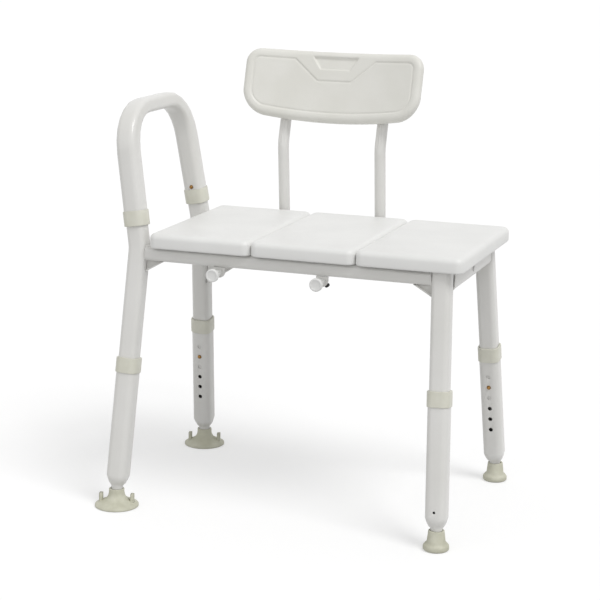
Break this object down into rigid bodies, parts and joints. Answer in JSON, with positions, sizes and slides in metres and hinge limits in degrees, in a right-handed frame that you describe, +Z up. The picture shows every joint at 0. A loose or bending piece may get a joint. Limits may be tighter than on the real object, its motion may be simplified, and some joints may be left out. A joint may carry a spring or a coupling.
{
  "type": "bath transfer bench",
  "caption": "Bath transfer bench with a panelled seat on splayed telescoping legs, a side armrest and a lift-out curved backrest.",
  "frame": {"origin": "on the floor, under the middle of the whole bench's box", "axes": "+X from the armrest end to the open end, +Y from the front to the backrest side, +Z up"},
  "size_m": [0.6806, 0.4972, 0.8209],
  "materials": {
    "white_paint": "satin powder coat",
    "white_plastic": "fine-grained satin moulding",
    "warm_white_plastic": "satin moulding",
    "ivory_plastic": "satin moulding",
    "ivory_rubber": "matt",
    "brass": "dull",
    "zinc_steel": "bright zinc plate",
    "black_rubber": "matt"
  },
  "bodies": {
    "frame": {"armrest_loop": "white_paint", "clamp_stop": "black_rubber", "cross_tube_plug": "white_plastic", "front_armrest_collar": "ivory_plastic", "front_armrest_spring": "zinc_steel", "front_left_gusset": "white_paint", "front_left_leg_spring": "zinc_steel", "front_left_upright": "white_paint", "front_rail": "white_paint", "front_right_gusset": "white_paint", "front_right_leg_spring": "zinc_steel", "front_right_upper_leg": "white_paint", "left_backrest_socket": "white_paint", "left_clamp_tab": "white_paint", "left_cross_tube": "white_paint", "rear_armrest_collar": "ivory_plastic", "rear_armrest_spring": "zinc_steel", "rear_left_gusset": "white_paint", "rear_left_leg_spring": "zinc_steel", "rear_left_upright": "white_paint", "rear_rail": "white_paint", "rear_right_gusset": "white_paint", "rear_right_leg_spring": "zinc_steel", "rear_right_upper_leg": "white_paint", "right_backrest_socket": "white_paint", "right_clamp_tab": "white_paint", "right_cross_tube": "white_paint", "seat_panel_1": "white_plastic", "seat_panel_2": "white_plastic", "seat_panel_3": "white_plastic"},
    "front_left_foot_leg": {"front_left_lower_leg": "white_paint", "front_left_leg_collar": "ivory_plastic", "front_left_suction_foot": "ivory_rubber"},
    "front_left_leg_snap": {"front_left_leg_button": "brass"},
    "rear_left_foot_leg": {"rear_left_lower_leg": "white_paint", "rear_left_leg_collar": "ivory_plastic", "rear_left_suction_foot": "ivory_rubber"},
    "rear_left_leg_snap": {"rear_left_leg_button": "brass"},
    "front_right_foot_leg": {"front_right_lower_leg": "white_paint", "front_right_leg_collar": "ivory_plastic", "front_right_rubber_tip": "ivory_rubber"},
    "front_right_leg_snap": {"front_right_leg_button": "brass"},
    "rear_right_foot_leg": {"rear_right_lower_leg": "white_paint", "rear_right_leg_collar": "ivory_plastic", "rear_right_rubber_tip": "ivory_rubber"},
    "rear_right_leg_snap": {"rear_right_leg_button": "brass"},
    "front_armrest_snap": {"front_armrest_button": "brass"},
    "rear_armrest_snap": {"rear_armrest_button": "brass"},
    "backrest": {"backrest_panel": "warm_white_plastic", "left_backrest_post": "white_paint", "right_backrest_post": "white_paint", "left_backrest_screw_1": "zinc_steel", "left_backrest_screw_2": "zinc_steel", "right_backrest_screw_1": "zinc_steel", "right_backrest_screw_2": "zinc_steel"},
    "front_left_knob": {"front_left_clamp_knob": "white_plastic"},
    "front_right_knob": {"front_right_clamp_knob": "white_plastic"},
    "rear_left_knob": {"rear_left_clamp_knob": "white_plastic"},
    "rear_right_knob": {"rear_right_clamp_knob": "white_plastic"}
  },
  "joints": [
    {"name": "front_left_leg_height", "type": "slide", "parent": "frame", "child": "front_left_foot_leg", "axis": [0.0445, 0.1418, 0.9889], "range_m": [-0.022, 0.066], "deforming": ["front_left_leg_button", "front_left_leg_spring"]},
    {"name": "front_left_leg_button_press", "type": "slide", "parent": "frame", "child": "front_left_leg_snap", "axis": [0.0064, -0.9899, 0.1417], "range_m": [0, 0.0048], "stiffness_N_per_m": 1500, "springref_m": -0.001, "deforming": ["front_left_leg_spring"]},
    {"name": "rear_left_leg_height", "type": "slide", "parent": "frame", "child": "rear_left_foot_leg", "axis": [0.0445, -0.1418, 0.9889], "range_m": [-0.022, 0.066], "deforming": ["rear_left_leg_button", "rear_left_leg_spring"]},
    {"name": "rear_left_leg_button_press", "type": "slide", "parent": "frame", "child": "rear_left_leg_snap", "axis": [0.0064, 0.9899, 0.1417], "range_m": [0, 0.0048], "stiffness_N_per_m": 1500, "springref_m": -0.001, "deforming": ["rear_left_leg_spring"]},
    {"name": "front_right_leg_height", "type": "slide", "parent": "frame", "child": "front_right_foot_leg", "axis": [-0.0445, 0.1418, 0.9889], "range_m": [-0.022, 0.066], "deforming": ["front_right_leg_button", "front_right_leg_spring"]},
    {"name": "front_right_leg_button_press", "type": "slide", "parent": "frame", "child": "front_right_leg_snap", "axis": [-0.0064, -0.9899, 0.1417], "range_m": [0, 0.0048], "stiffness_N_per_m": 1500, "springref_m": -0.001, "deforming": ["front_right_leg_spring"]},
    {"name": "rear_right_leg_height", "type": "slide", "parent": "frame", "child": "rear_right_foot_leg", "axis": [-0.0445, -0.1418, 0.9889], "range_m": [-0.022, 0.066], "deforming": ["rear_right_leg_button", "rear_right_leg_spring"]},
    {"name": "rear_right_leg_button_press", "type": "slide", "parent": "frame", "child": "rear_right_leg_snap", "axis": [-0.0064, 0.9899, 0.1417], "range_m": [0, 0.0048], "stiffness_N_per_m": 1500, "springref_m": -0.001, "deforming": ["rear_right_leg_spring"]},
    {"name": "front_armrest_button_press", "type": "slide", "parent": "frame", "child": "front_armrest_snap", "axis": [-0.0102, -0.9976, 0.0683], "range_m": [0, 0.0048], "stiffness_N_per_m": 1500, "springref_m": -0.001, "deforming": ["front_armrest_spring"]},
    {"name": "rear_armrest_button_press", "type": "slide", "parent": "frame", "child": "rear_armrest_snap", "axis": [-0.0102, 0.9976, 0.0683], "range_m": [0, 0.0048], "stiffness_N_per_m": 1500, "springref_m": -0.001, "deforming": ["rear_armrest_spring"]},
    {"name": "backrest_lift", "type": "slide", "parent": "frame", "child": "backrest", "axis": [0, 0, 1], "range_m": [0, 0.08]},
    {"name": "front_left_knob_turn", "type": "hinge", "parent": "frame", "child": "front_left_knob", "pos_m": [-0.11818, -0.18, 0.4477], "axis": [0, -1, 0], "continuous": true},
    {"name": "front_right_knob_turn", "type": "hinge", "parent": "frame", "child": "front_right_knob", "pos_m": [0.07882, -0.18, 0.4477], "axis": [0, -1, 0], "continuous": true},
    {"name": "rear_left_knob_turn", "type": "hinge", "parent": "frame", "child": "rear_left_knob", "pos_m": [-0.11818, 0.205, 0.4477], "axis": [0, 1, 0], "continuous": true},
    {"name": "rear_right_knob_turn", "type": "hinge", "parent": "frame", "child": "rear_right_knob", "pos_m": [0.07882, 0.205, 0.4477], "axis": [0, 1, 0], "continuous": true}
  ]
}
